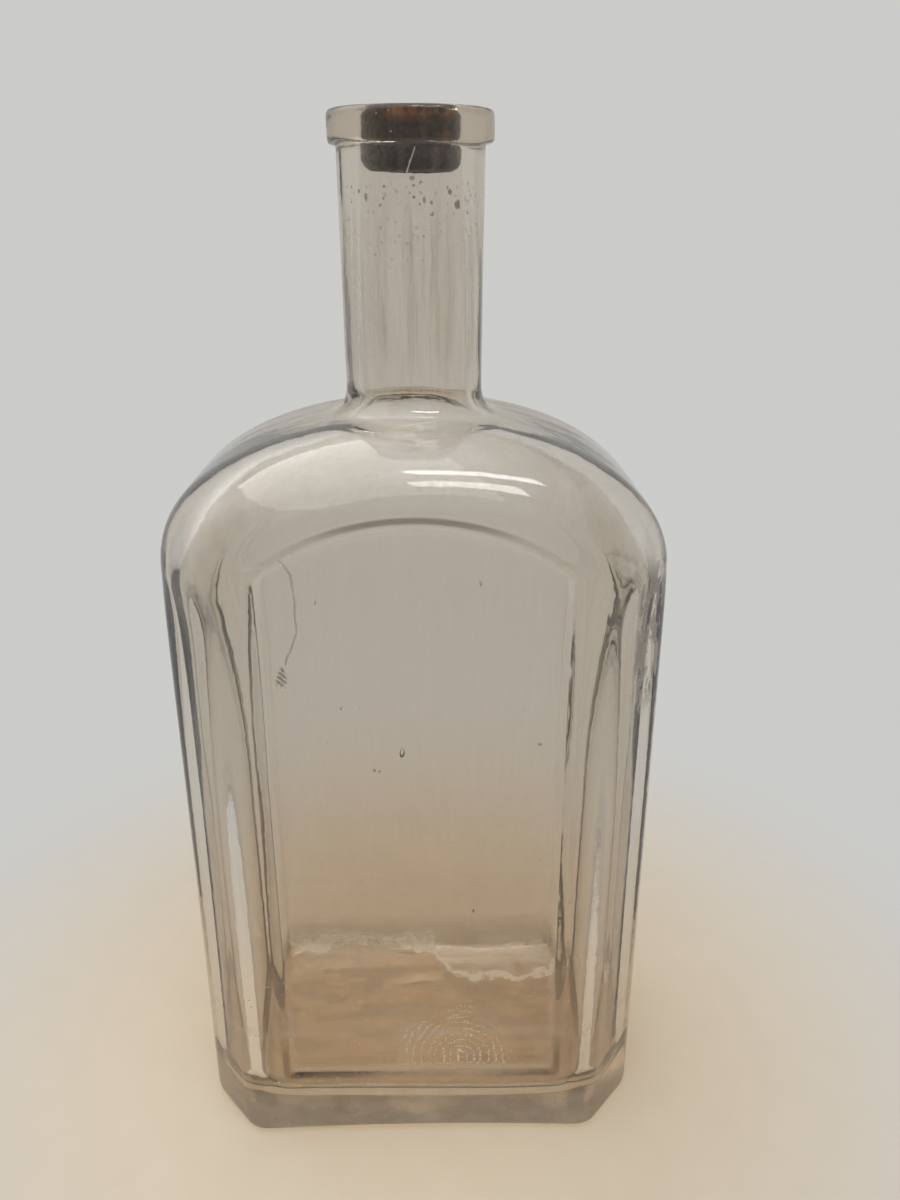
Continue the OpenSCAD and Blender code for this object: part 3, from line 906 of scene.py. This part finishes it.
def floor_material():
    """Pale wood colour near the bottle, which fades into the backdrop."""
    mat = material("pale_floor")
    t = Tree(mat)
    at = t.add("ShaderNodeTexCoord").outputs["Object"]
    far = t.rise(t.vmath("LENGTH", at), 0.085, 0.27)
    colour = t.mix(t.noise(at, 60.0, 4.0, 0.5), FLOOR_DARK, FLOOR_PALE)
    near = t.add("ShaderNodeBsdfDiffuse", {"Color": colour})
    y = t.add("ShaderNodeSeparateXYZ", {0: at}).outputs[1]
    glow = t.add("ShaderNodeEmission", {"Color": BACK, "Strength": room(t, y, -0.35, -0.9)})
    mixed = t.add("ShaderNodeMixShader", {0: t.times(far, see_ray(t)), 1: near, 2: glow})
    t.add("ShaderNodeOutputMaterial", {"Surface": mixed})
    return mat


def build_floor():
    obj = add_object("floor", floor_mesh())
    obj.data.materials.append(floor_material())


def build_world():
    world = bpy.data.worlds.new("studio")
    bpy.context.scene.world = world
    world.use_nodes = True
    world.node_tree.nodes.clear()
    t = Tree(world)
    way = t.add("ShaderNodeSeparateXYZ", {0: t.add("ShaderNodeTexCoord").outputs["Generated"]})
    dark = room(t, way.outputs[1], -0.15, -0.75)
    dark = t.math("MAXIMUM", dark, t.rise(way.outputs[2], 0.30, 0.70))
    # a soft ceiling that only reflections show
    ceiling = t.rise(t.affine(way.outputs[0], -0.50, way.outputs[2]), 0.50, 1.10)
    ceiling = t.times(ceiling, t.add("ShaderNodeLightPath").outputs["Is Glossy Ray"], 1.4)
    seen = t.add("ShaderNodeBackground", {"Color": BACK, "Strength": t.plus(dark, ceiling)})
    light = t.add("ShaderNodeBackground", {"Color": WORLD_LIGHT, "Strength": 1.0})
    mixed = t.add("ShaderNodeMixShader", {0: see_ray(t), 1: light, 2: seen})
    t.add("ShaderNodeOutputWorld", {"Surface": mixed})


def lamp(name, at, target, size, power):
    data = bpy.data.lights.new(name, "AREA")
    data.shape = "RECTANGLE"
    data.size, data.size_y = size
    data.energy = power
    obj = add_object(name, data)
    obj.location = at
    obj.rotation_euler = (Vector(target) - Vector(at)).to_track_quat("-Z", "Y").to_euler()
    return obj


def build_camera():
    data = bpy.data.cameras.new("photo_camera")
    data.sensor_fit = "VERTICAL"
    data.sensor_height = SENSOR_HEIGHT
    data.lens = LENS
    data.clip_start = CLIP_START
    obj = add_object("photo_camera", data)
    obj.location = CAMERA_AT
    pitch, turn = math.radians(CAMERA_DOWN), math.radians(CAMERA_RIGHT)
    look = Vector((math.sin(turn) * math.cos(pitch), math.cos(turn) * math.cos(pitch),
                   -math.sin(pitch)))
    obj.rotation_euler = look.to_track_quat("-Z", "Y").to_euler()
    bpy.context.scene.camera = obj


build_floor()
build_world()
lamp("ceiling_softbox", (-0.30, -0.10, 1.28), (0, 0, 0.1), (2.2, 1.1), 15.0).visible_glossy = False
lamp("window_strip", (0.22, -0.40, 1.05), (0, 0, 0.15), (0.56, 0.13), 2.4)
build_camera()
bpy.context.scene.view_settings.view_transform = "Standard"
